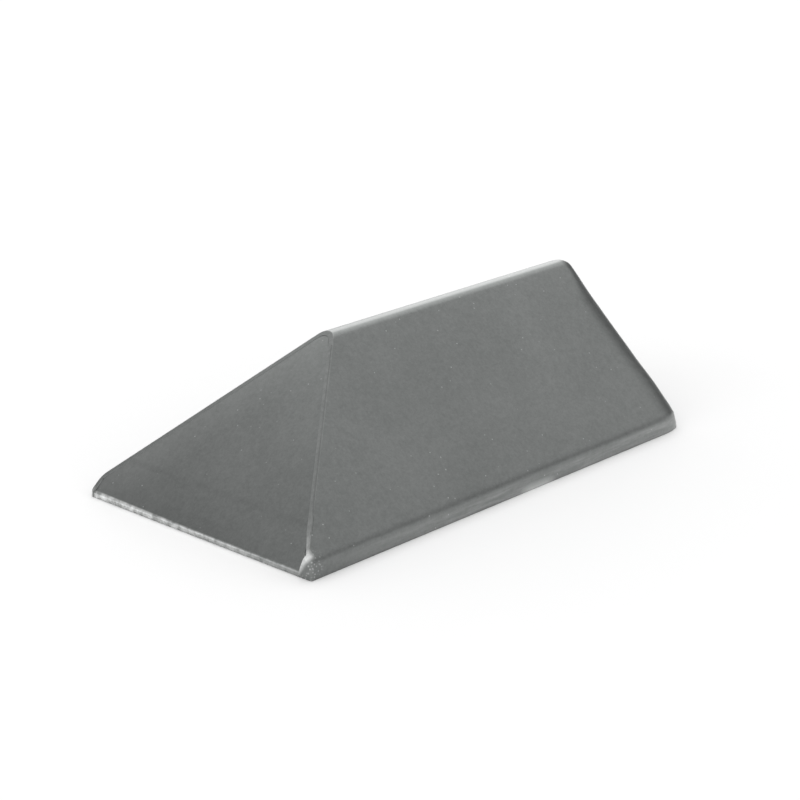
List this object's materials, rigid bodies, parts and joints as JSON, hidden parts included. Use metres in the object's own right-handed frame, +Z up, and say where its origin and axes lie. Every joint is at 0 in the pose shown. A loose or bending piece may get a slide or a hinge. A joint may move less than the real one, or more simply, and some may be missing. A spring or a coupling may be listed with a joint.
{
  "type": "door stop",
  "caption": "Weighted floor door stop: a folded satin steel cover with a sloping nose plate over a cast iron block, standing on a ribbed rubber sole.",
  "frame": {"origin": "on the floor under the middle of the rectangular base", "axes": "+X from the sloping nose to the upright end along the ridge, +Z up from the floor, Y across the two flanks"},
  "size_m": [0.15, 0.0856, 0.0438],
  "materials": {
    "satin_steel": "fine satin, mid grey with a slight green cast",
    "cast_iron": "sand cast, machined underside",
    "zinc_plated": "bright zinc plated",
    "felt": "grey felt",
    "rubber": "matt black moulded rubber"
  },
  "bodies": {
    "root": {"cover_shell": "satin_steel", "nose_plate": "satin_steel", "weld_stud_1": "satin_steel", "weld_stud_2": "satin_steel", "ballast_block": "cast_iron", "flat_washer_1": "zinc_plated", "flat_washer_2": "zinc_plated", "lock_washer_1": "zinc_plated", "lock_washer_2": "zinc_plated", "hex_nut_1": "zinc_plated", "hex_nut_2": "zinc_plated", "flank_pad_left": "felt", "flank_pad_right": "felt", "nose_pad": "felt", "end_pad": "felt", "base_plate": "zinc_plated", "base_screw_nose_left": "zinc_plated", "base_screw_nose_right": "zinc_plated", "base_screw_end_left": "zinc_plated", "base_screw_end_right": "zinc_plated", "rubber_sole": "rubber"}
  },
  "joints": []
}
